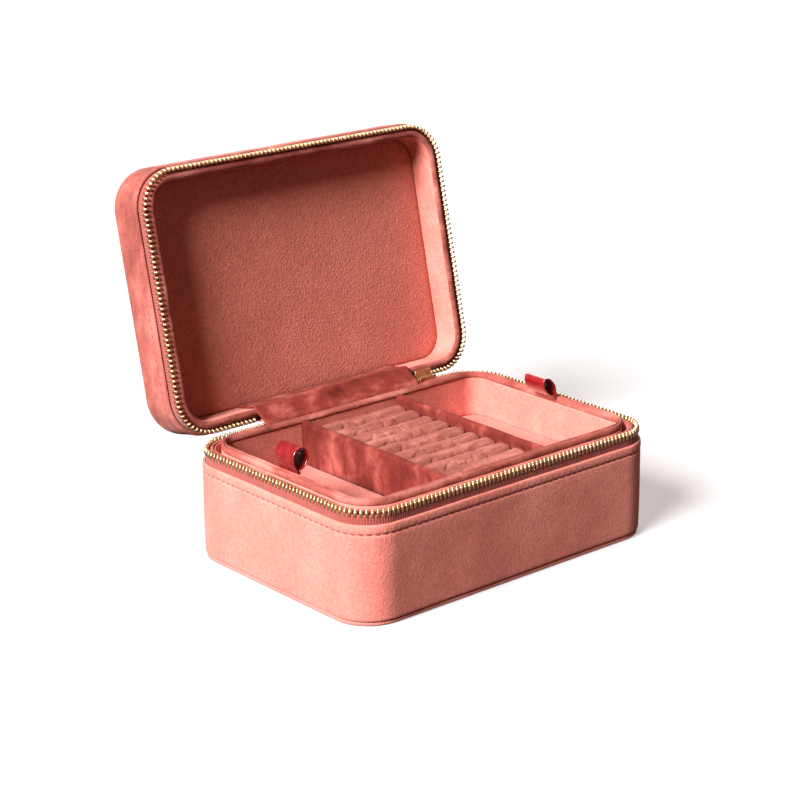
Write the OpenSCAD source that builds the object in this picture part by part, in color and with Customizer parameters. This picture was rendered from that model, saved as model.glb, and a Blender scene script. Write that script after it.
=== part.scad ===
// Zip-round velvet travel jewelry case with a fabric-hinged lid and a lift-out ring tray.
// The origin is the centre of the bottom face. +X runs along the length, +Y to the hinge.
// The lid is drawn shut and then turned about the hinge line to where it rests open.

/* [Case] */
// Outside length
case_w = 150; // [130:1:180]
// Outside depth, front to hinge
case_d = 105; // [95:1:130]
// Height with the lid shut
case_h = 70; // [66:1:80]
// Radius of the upright corners
corner_r = 16.2; // [14:0.1:20]
// Height where the two zip chains meet
parting_z = 45; // [42:0.5:50]
// Visible band between a cover's edge and the parting height
zip_band = 6.2; // [5:0.1:8]

/* [Lid] */
// How far the lid is turned back from shut, in degrees
lid_open = 102.5; // [90:0.5:115]
// Roundness of the lid's top edge
lid_round = 5.5; // [4:0.1:6]
// Depth of the lid's recess below the parting height
lid_recess = 13.5; // [10:0.5:16]

/* [Tray] */
// Gap from the case's outside to the tray's outside
tray_inset = 5.6; // [5.6:0.1:7]
// Height of the tray's underside
tray_z = 24.4; // [18:0.2:28]
// Distance of each divider's middle from the tray's centre line
divider_x = 24.3; // [20:0.1:30]
// Height of the ring rolls' tops
roll_top = 41.5; // [38:0.5:43]

/* [Hinge and zip] */
// Half the width of the fabric hinge strip inside
strip_half = 39.5; // [30:0.5:42]
// Where the zip chains end, from the centre line
chain_end = 38; // [34:0.5:40]
// Slider's distance from the centre line when parked
slider_x = 45.5; // [45:0.1:50]

/* [Hidden] */
$fn = 96;

// Colours
velvet = "#c4625c";
velvet_light = "#d98a80";
velvet_crushed = "#a8403a";
suede = "#b5635a";
leather_red = "#7d1113";
gold = "#d8b56a";
board = "#b9a58c";
foam = "#e6dccb";

// Walls, counted inwards from the case's outside
cover_t = 1.3;
tape_out = 1.35;
tape_in = 1.9;
shell_in = 3.7;
binding_out = 3.75;
binding_in = 4.6;
lining_out = 4.65;
base_lining_in = 5.2;
lid_lining_in = 6.0;
chain_out = 0.65;
chain_in = 2.6;
slip = 0.05;

// Levels of the base
piping_r = 0.8;
bottom_t = 1.6;
floor_t = 1.5;
floor_z = bottom_t + slip;
pad_t = 1.2;
pad_z = floor_z + floor_t + slip;
cover_z = 2 * piping_r + 0.1;
cover_top = parting_z - zip_band;
tape_z = cover_top - 7.8;
shell_top = cover_top + 1.7;
chain_bottom = parting_z - 3.25;
chain_top = parting_z - 0.6;
binding_top = parting_z - 1.4;
lining_top = parting_z - 1.8;

// Levels of the lid, drawn shut
lid_cap_z = case_h - lid_round - 0.5;
lid_shell_top = case_h - 3.7;
lid_board_t = 2;
panel_z = parting_z + lid_recess;
panel_t = 1.7;

// Hinge line
hinge_y = case_d / 2 - 0.25;
hinge_z = parting_z - 1;
spine_half = chain_end - 1.8;
spine_gap = 0.6;

// Tray
tray_r = 15;
tray_inner_r = 6;
tray_wall_in = tray_inset + 3.3;
tray_rim_in = tray_inset + 3.8;
rim_z = parting_z - 1.6;
rim_top = parting_z + 0.8;
divider_t = 2.6;
roll_count = 10;
roll_gap = 0.3;
bed_t = 3;
inner_z = tray_z + floor_t;
tray_in_y = case_d / 2 - tray_wall_in;
roll_pitch = 2 * tray_in_y / roll_count;

// Pull tabs
tab_w = 11;
tab_t = 0.9;
tab_x = case_w / 2 - 10.5;
tab_half = 3.1;
tab_root_x = case_w / 2 - tray_rim_in - 0.4;
tab_z = rim_top + 0.5;
tab_top = tab_z + 8.8;

// Zip slider
slider_len = 8.6;
slider_z = parting_z - 3.4;
slider_top = parting_z + 3.1;
plate_t = 0.9;
inner_plate_t = 0.6;
outer_plate_y = case_d / 2 - chain_out + 0.3;
inner_plate_y = case_d / 2 - chain_in - 0.3 - inner_plate_t;
inner_plate_top = parting_z + 1.1;
lug_z = parting_z - 3;
pull_y = outer_plate_y + plate_t + 1.3;
pull_len = 20;

// A rectangle with round corners, centred on the origin
module round_rect(w, d, r) {
    square([w - 2 * r, d], center = true);
    square([w, d - 2 * r], center = true);
    for (sx = [-1, 1], sy = [-1, 1])
        translate([sx * (w / 2 - r), sy * (d / 2 - r)]) circle(r);
}

// The case's outline set in from its outside
module outline(inset) {
    round_rect(case_w - 2 * inset, case_d - 2 * inset, corner_r - inset);
}

// A solid of the case's outline between two heights
module slab(inset, z0, z1) {
    translate([0, 0, z0]) linear_extrude(z1 - z0) outline(inset);
}

// A wall that follows the case's outline between two insets and two heights
module wall(outer, inner, z0, z1) {
    translate([0, 0, z0]) linear_extrude(z1 - z0) difference() {
        outline(outer);
        outline(inner);
    }
}

// Half of a section through a slab whose top edge is rounded by f
module edge_profile(half, h, f) {
    square([half - f, h]);
    square([half, h - f]);
    translate([half - f, h - f]) intersection() {
        circle(f);
        square(f);
    }
}

// A slab of the case's outline with a rounded top edge
module cushion(inset, z0, z1, f) {
    w = case_w / 2 - inset;
    d = case_d / 2 - inset;
    r = corner_r - inset;
    h = z1 - z0;
    translate([0, 0, z0]) {
        for (m = [0, 1]) mirror([m, 0, 0]) rotate([90, 0, 0])
            translate([0, 0, r - d]) linear_extrude(2 * (d - r)) edge_profile(w, h, f);
        for (m = [0, 1]) mirror([0, m, 0]) rotate([90, 0, 90])
            translate([0, 0, r - w]) linear_extrude(2 * (w - r)) edge_profile(d, h, f);
        for (sx = [-1, 1], sy = [-1, 1])
            translate([sx * (w - r), sy * (d - r), 0]) rotate_extrude() edge_profile(r, h, f);
    }
}

// A block across the middle of the hinge side
module rear_gap(x0, x1, z0, z1) {
    translate([x0, case_d / 2 - 14, z0]) cube([x1 - x0, 20, z1 - z0]);
}

// Turns a piece of the shut lid back about the hinge line
module opened() {
    translate([0, hinge_y, hinge_z]) rotate([-lid_open, 0, 0])
        translate([0, -hinge_y, -hinge_z]) children();
}

// Base: stiff box of board that everything is glued to
module base_shell() {
    color(board) {
        slab(cover_t, floor_z, floor_z + floor_t);
        wall(cover_t, shell_in, floor_z, tape_z);
        wall(tape_in + slip, shell_in, tape_z, shell_top);
    }
}

// Base: outer velvet, turned in at its top edge
module base_cover() {
    color(velvet) wall(0, cover_t - slip, cover_z, cover_top);
}

// Base: flat panel that the case rests on
module base_bottom_panel() {
    color(velvet) slab(2.4, 0, bottom_t);
}

// Base: round bead sewn in between the cover and the bottom panel
module base_piping() {
    inset = piping_r + 0.5;
    r = corner_r - inset;
    x = case_w / 2 - inset;
    y = case_d / 2 - inset;
    color(velvet) translate([0, 0, piping_r]) {
        for (sy = [-1, 1]) translate([r - x, sy * y, 0]) rotate([0, 90, 0])
            cylinder(r = piping_r, h = 2 * (x - r));
        for (sx = [-1, 1]) translate([sx * x, y - r, 0]) rotate([90, 0, 0])
            cylinder(r = piping_r, h = 2 * (y - r));
        for (i = [0 : 3])
            translate([(i % 3 == 0 ? 1 : -1) * (x - r), (i < 2 ? 1 : -1) * (y - r), 0])
                rotate([0, 0, 90 * i]) rotate_extrude(angle = 90) translate([r, 0]) circle(piping_r);
    }
}

// Zip tape that stands up from between cover and board
module base_zip_tape() {
    color(velvet_crushed) difference() {
        wall(tape_out, tape_in, tape_z + slip, chain_bottom);
        rear_gap(-chain_end, chain_end, tape_z, chain_bottom + 1);
    }
}

// Row of zip teeth along the top of the tape
module base_zip_chain() {
    color(gold) difference() {
        wall(chain_out, chain_in, chain_bottom, chain_top);
        rear_gap(-chain_end, chain_end, chain_bottom - 1, chain_top + 1);
    }
}

// Strip of velvet that hides the board's top edge
module base_edge_binding() {
    color(velvet_light) wall(binding_out, binding_in, tape_z, binding_top);
}

// Lining of the upper wall, beside the tray
module base_wall_lining() {
    color(velvet_light) difference() {
        wall(lining_out, base_lining_in, tray_z, lining_top);
        rear_gap(-strip_half - slip, strip_half + slip, tray_z - 1, lining_top + 1);
    }
}

// Thick lining of the well, whose top edge carries the tray
module well_liner() {
    color(velvet_light) wall(binding_out, 7.8, pad_z + pad_t + slip, tray_z);
}

// Padded floor of the well
module well_floor_pad() {
    color(suede) slab(binding_out, pad_z, pad_z + pad_t);
}

// Outer spine fabric below the hinge line
module spine_lower_flap() {
    color(velvet) translate([-spine_half, case_d / 2 - cover_t + slip, cover_top])
        cube([2 * spine_half, cover_t - slip, hinge_z - spine_gap - cover_top]);
}

// Inner hinge strip where it goes down behind the tray
module hinge_strip_lower() {
    color(velvet_crushed) translate([-strip_half, case_d / 2 - base_lining_in, tray_z])
        cube([2 * strip_half, base_lining_in - lining_out, binding_top + 0.9 - tray_z]);
}

// Metal stop at each end of the base's chain
module zip_end_stops() {
    stop_w = 1.5;
    color(gold) for (m = [0, 1]) mirror([m, 0, 0])
        translate([chain_end - stop_w - slip, case_d / 2 - chain_in, chain_bottom])
            cube([stop_w, chain_in - chain_out, chain_top - chain_bottom]);
}

// Lid: stiff board walls and top
module lid_shell() {
    z0 = 2 * parting_z - shell_top;
    z1 = 2 * parting_z - tape_z;
    color(board) opened() {
        wall(tape_in + slip, shell_in, z0, z1);
        wall(cover_t, shell_in, z1, lid_shell_top);
        slab(shell_in - 1, lid_shell_top - lid_board_t, lid_shell_top);
    }
}

// Lid: outer velvet wall
module lid_cover() {
    color(velvet) opened() wall(0, cover_t - slip, 2 * parting_z - cover_top, lid_cap_z);
}

// Lid: velvet top with its rounded edge, drawn over the wall
module lid_top_panel() {
    color(velvet) opened() difference() {
        cushion(0, lid_cap_z + slip, case_h, lid_round);
        slab(cover_t - slip, lid_cap_z - 1, lid_shell_top + slip);
        slab(4.5, lid_shell_top, lid_shell_top + 2);
    }
}

// Lid: thin foam between the board and the velvet top
module lid_top_foam() {
    color(foam) opened() slab(4.5 + slip, lid_shell_top + slip, lid_shell_top + 2 - slip);
}

// Zip tape of the lid, hanging down from between cover and board
module lid_zip_tape() {
    z0 = 2 * parting_z - chain_bottom;
    z1 = 2 * parting_z - tape_z - slip;
    color(velvet_crushed) opened() difference() {
        wall(tape_out, tape_in, z0, z1);
        rear_gap(-chain_end, chain_end, z0 - 1, z1 + 1);
    }
}

// Lid's row of zip teeth, without the last ones, which sit in the slider's mouth
module lid_zip_chain() {
    z0 = 2 * parting_z - chain_top;
    z1 = 2 * parting_z - chain_bottom;
    color(gold) opened() difference() {
        wall(chain_out, chain_in, z0, z1);
        rear_gap(-chain_end, slider_x + slider_len / 2 + 0.8, z0 - 1, z1 + 1);
    }
}

// Lid: strip of velvet that hides the board's edge
module lid_edge_binding() {
    color(velvet_light) opened()
        wall(binding_out, binding_in, 2 * parting_z - binding_top, 2 * parting_z - tape_z);
}

// Lid: inside wall of the recess
module lid_wall_lining() {
    color(velvet_light) opened()
        wall(lining_out, lid_lining_in, 2 * parting_z - lining_top, panel_z + panel_t);
}

// Lid: suede-covered board at the back of the recess
module lid_panel() {
    color(suede) opened() slab(lid_lining_in + slip, panel_z, panel_z + panel_t);
}

// Lid: foam that the suede board is pressed against
module lid_panel_foam() {
    color(foam) opened()
        slab(lid_lining_in, panel_z + panel_t + slip, lid_shell_top - lid_board_t - slip);
}

// Outer spine fabric above the hinge line
module spine_upper_flap() {
    z0 = hinge_z + spine_gap;
    color(velvet) opened() translate([-spine_half, case_d / 2 - cover_t + slip, z0])
        cube([2 * spine_half, cover_t - slip, 2 * parting_z - cover_top - z0]);
}

// Inner hinge strip where it lines the lid's rear wall
module hinge_strip_upper() {
    z0 = 2 * parting_z - lining_top;
    color(velvet_crushed) opened()
        translate([-strip_half, case_d / 2 - lid_lining_in - 0.7 - slip, z0])
            cube([2 * strip_half, 0.7, panel_z - slip - z0]);
}

// The tray's outline set in from the case's outside, with its own corner radius
module tray_outline(inset, r) {
    round_rect(case_w - 2 * inset, case_d - 2 * inset, r);
}

// A ring of the tray's outline with a tighter corner radius inside
module tray_wall(inner, z0, z1) {
    translate([0, 0, z0]) linear_extrude(z1 - z0) difference() {
        tray_outline(tray_inset, tray_r);
        tray_outline(inner, tray_inner_r);
    }
}

// Tray: velvet-covered side walls
module tray_frame() {
    color(velvet_light) tray_wall(tray_wall_in, inner_z, rim_z);
}

// Tray: floor board
module tray_floor() {
    color(board) translate([0, 0, tray_z]) linear_extrude(floor_t)
        tray_outline(tray_inset, tray_r);
}

// Padded velvet rim, a little wider than the wall below it
module tray_rim() {
    color(velvet_light) tray_wall(tray_rim_in, rim_z, rim_top);
}

// Lining of one of the two end compartments
module tray_pad(side) {
    x0 = divider_x + divider_t / 2 + slip;
    color(velvet_light) translate([0, 0, inner_z]) linear_extrude(1) intersection() {
        tray_outline(tray_wall_in + slip, tray_inner_r);
        translate([side > 0 ? x0 : -case_w, -case_d / 2]) square([case_w - x0, case_d]);
    }
}

module tray_left_pad() { tray_pad(-1); }
module tray_right_pad() { tray_pad(1); }

// Velvet-covered board between the rolls and an end compartment
module divider(side) {
    color(velvet_crushed)
        translate([side * divider_x - divider_t / 2, slip - tray_in_y, inner_z])
            cube([divider_t, 2 * (tray_in_y - slip), rim_z - slip - inner_z]);
}

module divider_left() { divider(-1); }
module divider_right() { divider(1); }

// Foam bed under the ring rolls
module ring_bed() {
    half = divider_x - divider_t / 2 - slip;
    color(foam) translate([-half, slip - tray_in_y, inner_z])
        cube([2 * half, 2 * (tray_in_y - slip), bed_t]);
}

// One velvet-wrapped foam roll, flat below and round above, counted from the front
module ring_roll(n) {
    half = divider_x - divider_t / 2 - slip;
    t = roll_pitch - roll_gap;
    z0 = inner_z + bed_t + slip;
    y = (n - 0.5) * roll_pitch - tray_in_y;
    color(velvet) translate([-half, y, z0]) rotate([90, 0, 90]) linear_extrude(2 * half) {
        translate([-t / 2, 0]) square([t, roll_top - t / 2 - z0]);
        translate([0, roll_top - t / 2 - z0]) circle(t / 2);
    }
}

// Where a leather pull tab is glued to the inside of the rim
module tab_root(side) {
    z0 = rim_z - 5;
    color(leather_red) translate([side * tab_root_x - 0.35, -tab_w / 2, z0])
        cube([0.7, tab_w, rim_top - 0.3 - z0]);
}

module tab_root_left() { tab_root(-1); }
module tab_root_right() { tab_root(1); }

// Leather strap bent into an upright loop
module loop_section(half) {
    for (z = [tab_z + tab_half, tab_top - tab_half]) translate([0, z]) circle(half);
    translate([-half, tab_z + tab_half]) square([2 * half, tab_top - tab_z - 2 * tab_half]);
}

module tab_loop(side) {
    color(leather_red) translate([side * tab_x, tab_w / 2, 0]) rotate([90, 0, 0])
        linear_extrude(tab_w) difference() {
            loop_section(tab_half);
            loop_section(tab_half - tab_t);
        }
}

module tab_loop_left() { tab_loop(-1); }
module tab_loop_right() { tab_loop(1); }

// Slider: two plates either side of the chains, joined by a thin post between the rows
module zip_slider() {
    post_len = 3;
    post_t = 0.6;
    lug_w = 3;
    pin_r = 0.45;
    color(gold) {
        translate([slider_x - slider_len / 2, outer_plate_y, slider_z])
            cube([slider_len, plate_t, slider_top - slider_z]);
        translate([slider_x - slider_len / 2, inner_plate_y, slider_z])
            cube([slider_len, inner_plate_t, inner_plate_top - slider_z]);
        translate([slider_x + slider_len / 2 - post_len, inner_plate_y, parting_z - post_t / 2])
            cube([post_len, outer_plate_y + plate_t - inner_plate_y, post_t]);
        for (side = [-1, 1])
            translate([slider_x + side * lug_w - 0.4, outer_plate_y, lug_z - 0.6])
                cube([0.8, pull_y + 0.6 - outer_plate_y, 1.2]);
        translate([slider_x - lug_w, pull_y, lug_z]) rotate([0, 90, 0])
            cylinder(r = pin_r, h = 2 * lug_w);
    }
}

// Pull: a flat tongue that hangs from the slider's pin
module zip_pull() {
    eye_r = 0.95;
    bore_r = 0.5;
    half = 2.3;
    t = 0.9;
    color(gold) translate([slider_x, pull_y, lug_z]) {
        difference() {
            union() {
                rotate([0, 90, 0]) cylinder(r = eye_r, h = 2 * half, center = true);
                translate([-half, -t / 2, -pull_len + half]) cube([2 * half, t, pull_len - half]);
                translate([0, t / 2, -pull_len + half]) rotate([90, 0, 0])
                    cylinder(r = half, h = t);
            }
            rotate([0, 90, 0]) cylinder(r = bore_r, h = 2 * half + 1, center = true);
        }
    }
}

base_shell();
base_cover();
base_bottom_panel();
base_piping();
base_zip_tape();
base_zip_chain();
base_edge_binding();
base_wall_lining();
well_liner();
well_floor_pad();
spine_lower_flap();
hinge_strip_lower();
zip_end_stops();
lid_shell();
lid_cover();
lid_top_panel();
lid_top_foam();
lid_zip_tape();
lid_zip_chain();
lid_edge_binding();
lid_wall_lining();
lid_panel();
lid_panel_foam();
spine_upper_flap();
hinge_strip_upper();
tray_frame();
tray_floor();
tray_rim();
tray_left_pad();
tray_right_pad();
divider_left();
divider_right();
ring_bed();
for (n = [1 : roll_count])
    ring_roll(n);
tab_root_left();
tab_root_right();
tab_loop_left();
tab_loop_right();
zip_slider();
zip_pull();
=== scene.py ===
"""Looks of a velvet travel jewelry case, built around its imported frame.

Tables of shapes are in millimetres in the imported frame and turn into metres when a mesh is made. Profiles are
lists of (inset from the case's outside, height). The lid is shaped as if it lay shut and mirrored about the
plane where the zip's two rows meet, so that lid and base share the same functions, and is then turned to where
it rests open.
"""

import math

import bmesh
import bpy
import numpy as np
from mathutils import Matrix, Vector


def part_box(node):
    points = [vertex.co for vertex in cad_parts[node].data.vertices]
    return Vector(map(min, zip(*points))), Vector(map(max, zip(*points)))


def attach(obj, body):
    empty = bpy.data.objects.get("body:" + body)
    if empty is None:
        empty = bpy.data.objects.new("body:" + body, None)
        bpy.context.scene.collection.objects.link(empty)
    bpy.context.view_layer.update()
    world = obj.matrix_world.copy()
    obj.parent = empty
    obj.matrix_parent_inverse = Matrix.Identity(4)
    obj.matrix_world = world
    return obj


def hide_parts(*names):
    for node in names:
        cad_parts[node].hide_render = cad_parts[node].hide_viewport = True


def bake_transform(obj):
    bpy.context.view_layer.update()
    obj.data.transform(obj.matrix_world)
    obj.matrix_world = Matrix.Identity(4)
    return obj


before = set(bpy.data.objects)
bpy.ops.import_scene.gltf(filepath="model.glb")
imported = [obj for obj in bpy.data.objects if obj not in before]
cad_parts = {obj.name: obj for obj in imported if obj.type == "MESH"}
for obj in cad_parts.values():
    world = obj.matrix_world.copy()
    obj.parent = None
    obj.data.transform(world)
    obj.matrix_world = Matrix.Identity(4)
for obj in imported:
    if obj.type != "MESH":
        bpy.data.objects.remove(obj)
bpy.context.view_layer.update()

MM = 0.001
HALF_X, HALF_Y, CORNER_R = 75.0, 52.5, 16.2
# the zip's two rows meet at this height, and the velvet covers end below it
PARTING = 45.0
COVER_TOP = 38.8
SHUT_HEIGHT = 70.0
LID_TOP = 2 * PARTING - SHUT_HEIGHT
# y and z of the lid's axis, and how far it is turned from shut
HINGE = (52.25, 44.0)
OPEN = math.radians(-102.5)
# half widths of the inner and the outer cloth hinge
STRIP_HALF = 39.5
SPINE_HALF = 36.2
# distance of the chains' ends from the middle of the back
CHAIN_END = 38.0
LID_CHAIN_RIGHT = 50.6
TOOTH_PITCH = 2.0
STITCH_PITCH = 3.1
# pin that the zip's pull hangs from
PIN_X, PIN_Y, PIN_Z = 45.5, 54.35, 42.0
# where a leather tab goes into the tray rim's seam
TAB_ROOT_X, RIM_SEAM_Z = 65.25, 45.5
TAB_WIDTH = 11.0


# ---------------------------------------------------------------- camera


def add_object(name, data):
    obj = bpy.data.objects.new(name, data)
    bpy.context.scene.collection.objects.link(obj)
    return obj


def add_camera():
    az, el, roll = math.radians(-40.60), math.radians(18.39), math.radians(-0.44)
    aim = Vector((-46.88, -40.63, 78.41)) * MM
    distance = 0.79229
    back = Vector((math.sin(az) * math.cos(el), -math.cos(az) * math.cos(el), math.sin(el)))
    right = Vector((math.cos(az), math.sin(az), 0))
    up = back.cross(right)
    side = right * math.cos(roll) + up * math.sin(roll)
    top = up * math.cos(roll) - right * math.sin(roll)
    data = bpy.data.cameras.new("camera")
    data.sensor_width = 36
    data.lens = 100.84
    data.clip_start, data.clip_end = 0.05, 20
    cam = add_object("camera", data)
    turn = Matrix((side, top, back)).transposed().to_4x4()
    turn.translation = aim + back * distance
    cam.matrix_world = turn
    bpy.context.scene.camera = cam


add_camera()


# ---------------------------------------------------------------- noise


def _hash(x, y, z, seed):
    n = (x * 374761393 + y * 668265263 + z * 2147483647 + seed * 1274126177) & 0xFFFFFFFF
    n = ((n ^ (n >> 13)) * 1274126177) & 0xFFFFFFFF
    n = ((n ^ (n >> 16)) * 2246822519) & 0xFFFFFFFF
    return (n ^ (n >> 15)) / 2147483647.5 - 1.0


def wave_noise(p, size, seed=0):
    """Smooth noise from -1 to 1 at points p, in mm, with features about size mm across."""
    q = np.asarray(p, float) / size + 0.37 * seed
    i = np.floor(q).astype(np.int64)
    f = q - i
    f = f * f * (3 - 2 * f)
    total = np.zeros(q.shape[:-1])
    for dx in (0, 1):
        for dy in (0, 1):
            for dz in (0, 1):
                w = (
                    (f[..., 0] if dx else 1 - f[..., 0])
                    * (f[..., 1] if dy else 1 - f[..., 1])
                    * (f[..., 2] if dz else 1 - f[..., 2])
                )
                total += w * _hash(i[..., 0] + dx, i[..., 1] + dy, i[..., 2] + dz, seed)
    return total


def rough_noise(p, size, seed=0, octaves=3):
    """Noise with finer noise on top."""
    return sum(wave_noise(p, size / 2**k, seed + k) / 2**k for k in range(octaves)) / 1.6


# ---------------------------------------------------------------- mesh helpers


def to_lid(p):
    """Points of the mirrored, shut lid, in mm, to where the lid rests open."""
    p = np.asarray(p, float)
    y, z = p[..., 1] - HINGE[0], 2 * PARTING - p[..., 2] - HINGE[1]
    out = np.empty_like(p)
    out[..., 0] = p[..., 0]
    out[..., 1] = HINGE[0] + y * math.cos(OPEN) - z * math.sin(OPEN)
    out[..., 2] = HINGE[1] + y * math.sin(OPEN) + z * math.cos(OPEN)
    return out


def flipped(faces):
    return [tuple(reversed(f)) for f in faces]


def shifted(faces, by):
    return [tuple(i + by for i in f) for f in faces]


def grid_faces(rows, across, wrap_rows=False, wrap_across=True):
    """Four-sided faces between neighbours in a grid of points."""
    faces = []
    for i in range(rows if wrap_rows else rows - 1):
        low, high = i * across, (i + 1) % rows * across
        for j in range(across if wrap_across else across - 1):
            j2 = (j + 1) % across
            faces.append((low + j, low + j2, high + j2, high + j))
    return faces


def end_faces(rows, across):
    """Faces that fill the first and the last ring."""
    return [tuple(range(across))[::-1], tuple((rows - 1) * across + j for j in range(across))]


def tube_faces(rings, around, closed=False):
    return grid_faces(rings, around, closed) + ([] if closed else end_faces(rings, around))


def slab_faces(rows, across):
    """Faces of a cloth with a thickness: a grid of points, the same grid under it and the rim that joins
    them."""
    below = rows * across
    top = grid_faces(rows, across, wrap_across=False)
    rim = [(i, 0) for i in range(rows)] + [(rows - 1, j) for j in range(1, across)]
    rim += [(i, across - 1) for i in range(rows - 2, -1, -1)] + [(0, j) for j in range(across - 2, 0, -1)]
    rim = [i * across + j for i, j in rim]
    sides = [(a, b, below + b, below + a) for a, b in zip(rim, rim[1:] + rim[:1])]
    return top + shifted(flipped(top), below) + sides


def angles(around, first=0.0):
    """Even angles round a circle, the first one a share of a step on."""
    return [2 * math.pi * (j + first) / around for j in range(around)]


def make(name, verts, faces, material, body, replaces=(), lid=False, uv=None):
    """A mesh piece from points in mm."""
    verts = np.asarray(verts, float)
    if lid:
        verts = to_lid(verts)
        faces = flipped(faces)
    mesh = bpy.data.meshes.new(name)
    mesh.from_pydata((verts * MM).tolist(), [], [tuple(int(i) for i in f) for f in faces])
    if uv is not None:
        layer = mesh.uv_layers.new(name="cloth")
        index = np.zeros(len(mesh.loops), np.int64)
        mesh.loops.foreach_get("vertex_index", index)
        layer.data.foreach_set("uv", np.asarray(uv, np.float32)[index].ravel())
    mesh.validate()
    mesh.materials.append(material)
    mesh.shade_smooth()
    obj = add_object(name, mesh)
    if replaces:
        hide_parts(*replaces)
    if body:
        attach(obj, body)
    return obj


def outline_length(hx, hy, r):
    return 4 * (hx - r) + 4 * (hy - r) + 2 * math.pi * r


CASE_LENGTH = outline_length(HALF_X, HALF_Y, CORNER_R)

# for each stretch of the outline: x, y on the inner rectangle and the normal's angle, each at start and end
STRETCHES = np.array(
    [
        (0, -1, 1, 1, 90, 90),
        (-1, -1, 1, 1, 90, 180),
        (-1, -1, 1, -1, 180, 180),
        (-1, -1, -1, -1, 180, 270),
        (-1, 1, -1, -1, 270, 270),
        (1, 1, -1, -1, 270, 360),
        (1, 1, -1, 1, 0, 0),
        (1, 1, 1, 1, 0, 90),
        (1, 0, 1, 1, 90, 90),
    ]
)


def outline_frame(s, hx, hy, r):
    """For distances s along a rounded rectangle, counterclockwise from the middle of the hinge side: where on
    the inner rectangle they are, from -1 to 1, and the outward normals."""
    a, b, arc = 2 * (hx - r), 2 * (hy - r), math.pi * r / 2
    s = np.mod(np.asarray(s, float), outline_length(hx, hy, r))
    stops = np.cumsum([a / 2, arc, b, arc, a, arc, b, arc, a / 2])
    starts = np.concatenate([[0], stops[:-1]])
    k = np.minimum(np.searchsorted(stops, s, side="right"), len(stops) - 1)
    f = (s - starts[k]) / (stops - starts)[k]
    x0, x1, y0, y1, angle0, angle1 = STRETCHES[k].T
    c = np.stack([x0 + (x1 - x0) * f, y0 + (y1 - y0) * f], 1)
    angle = np.radians(angle0 + (angle1 - angle0) * f)
    return c, np.stack([np.cos(angle), np.sin(angle)], 1)


def outline_points(s, hx, hy, r, z):
    """Points on an outline at height z, with the outward normals."""
    c, normal = outline_frame(s, hx, hy, r)
    flat = c * [hx - r, hy - r] + r * normal
    return np.column_stack([flat, np.full(len(s), z)]), normal


def pushed(p, normal, amount):
    """A copy of the points, moved outward."""
    p = p.copy()
    p[..., :2] += amount[..., None] * normal[None]
    return p


def rippled(amount, size, seed):
    """A shape for a loft: a little smooth noise in and out."""
    return lambda p, s, normal: pushed(p, normal, amount * wave_noise(p, size, seed))


def sections_of(profile):
    """Profile points (inset, height) as outlines of the case."""
    return [(HALF_X - i, HALF_Y - i, max(CORNER_R - i, 0.6), z) for i, z in profile]


def arc_points(cx, cz, r, a0, a1, n):
    """Profile points on an arc about inset cx and height cz. Angle 0 points out of the case and 90 up."""
    turns = [math.radians(a0 + (a1 - a0) * k / n) for k in range(n + 1)]
    return [(cx - r * math.cos(t), cz + r * math.sin(t)) for t in turns]


def loft_points(sections, step=0.8, span=None):
    """A grid of points for outlines (half x, half y, corner radius, height), one row for each, with the
    distance along the case's outside and the outward normals."""
    if span is None:
        n = int(round(CASE_LENGTH / step / 4)) * 4
        s = np.arange(n) * CASE_LENGTH / n
    else:
        n = max(2, int(round((span[1] - span[0]) / step)))
        s = np.linspace(span[0], span[1], n + 1)
    c, normal = outline_frame(s, HALF_X, HALF_Y, CORNER_R)
    p = np.zeros((len(sections), len(s), 3))
    for k, (hx, hy, r, z) in enumerate(sections):
        p[k, :, :2] = c * [hx - r, hy - r] + r * normal
        p[k, :, 2] = z
    return p, s, normal


def loft(
    name, sections, material, body, replaces=(
        
    ), lid=False, closed=True, span=None, step=0.8, shape=None,
    caps=False, second=None,
):
    """A mesh through outlines one above another. closed joins the last to the first, and caps fills the first
    and last. span is the stretch of the outline to cover, if not all of it. shape moves the points, given
    (points, distances, normals). second is (material, row, row): the rows between those two are of that
    material."""
    p, s, normal = loft_points(sections, step, span)
    if shape is not None:
        p = shape(p, s, normal)
    m, n = p.shape[:2]
    faces = grid_faces(m, n, wrap_rows=closed, wrap_across=span is None)
    if caps:
        faces += end_faces(m, n)
    if span is not None and closed:
        faces.append(tuple(i * n for i in range(m)))
        faces.append(tuple(i * n + n - 1 for i in range(m))[::-1])
    run = np.zeros((m, n))
    run[1:] = np.cumsum(np.linalg.norm(np.diff(p, axis=0), axis=2).mean(1))[:, None]
    uv = np.stack([np.broadcast_to(s, (m, n)), run], 2).reshape(-1, 2) * MM
    piece = make(name, p.reshape(-1, 3), faces, material, body, replaces, lid, uv)
    if second is not None:
        other, first_row, last_row = second
        piece.data.materials.append(other)
        for face in piece.data.polygons:
            row = min(face.vertices) // n
            if first_row <= row <= last_row and max(face.vertices) // n <= row + 1:
                face.material_index = 1
    return piece


def copies(template, faces, places, along, out, up):
    """Copies of a small mesh at many places. template holds points (along, out, up)."""
    t = np.asarray(template, float)
    axes = (along, out, up)
    p = places[:, None, :] + sum(t[None, :, k : k + 1] * axes[k][:, None, :] for k in range(3))
    made = [f for k in range(len(places)) for f in shifted(faces, k * len(t))]
    return p.reshape(-1, 3), made


# ---------------------------------------------------------------- materials


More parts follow.
